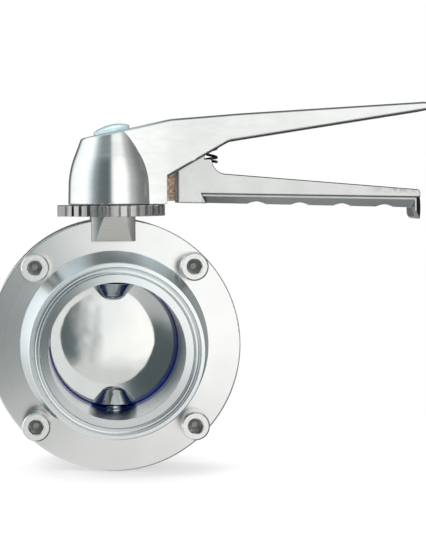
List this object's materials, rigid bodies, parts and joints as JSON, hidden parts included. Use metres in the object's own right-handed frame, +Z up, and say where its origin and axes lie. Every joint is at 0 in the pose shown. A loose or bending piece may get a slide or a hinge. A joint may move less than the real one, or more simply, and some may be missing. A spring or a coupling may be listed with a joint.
{
  "type": "butterfly valve",
  "caption": "Sanitary butterfly valve with clamp ferrules, a bolted two-piece body, a rotating disc on a stem, an index plate and a squeeze-trigger lever handle.",
  "frame": {"origin": "centre of the disc, where the stem axis crosses the pipe axis", "axes": "+X along the handle when the valve is closed, +Y along the pipe from the front end to the rear end, +Z up the stem"},
  "size_m": [0.2025, 0.078, 0.1673],
  "materials": {
    "body_steel": "turned stainless steel, satin",
    "silicone": "blue silicone, satin",
    "mirror_steel": "mirror polished stainless steel",
    "bushing_plastic": "natural white bearing plastic",
    "fastener_steel": "stainless steel, tumbled",
    "plate_steel": "laser-cut stainless steel",
    "cast_steel": "investment-cast stainless steel, satin brushed",
    "cap_plastic": "pale translucent plastic",
    "blasted_steel": "investment-cast stainless steel, bead blasted",
    "spring_steel": "dark spring wire"
  },
  "bodies": {
    "body": {"front_body": "body_steel", "rear_body": "body_steel", "seat_ring": "silicone", "upper_bushing": "bushing_plastic", "lower_bushing": "bushing_plastic", "body_screws": "fastener_steel", "lock_washers": "fastener_steel", "index_plate": "plate_steel"},
    "stem": {"disc_and_stem": "mirror_steel", "handle": "cast_steel", "handle_washer": "fastener_steel", "handle_lock_washer": "fastener_steel", "handle_screw": "fastener_steel", "handle_cap": "cap_plastic", "pivot_pin": "cast_steel", "return_spring": "spring_steel"},
    "trigger": {"trigger": "blasted_steel"}
  },
  "joints": [
    {"name": "stem_turn", "type": "hinge", "parent": "body", "child": "stem", "pos_m": [0, 0, 0], "axis": [0, 0, 1], "range_deg": [0, 90]},
    {"name": "trigger_squeeze", "type": "hinge", "parent": "stem", "child": "trigger", "pos_m": [0.036, 0, 0.0861], "axis": [0, -1, 0], "range_deg": [0, 13], "stiffness_Nm_per_rad": 0.8, "springref_deg": -8.59, "deforming": ["return_spring"]}
  ]
}
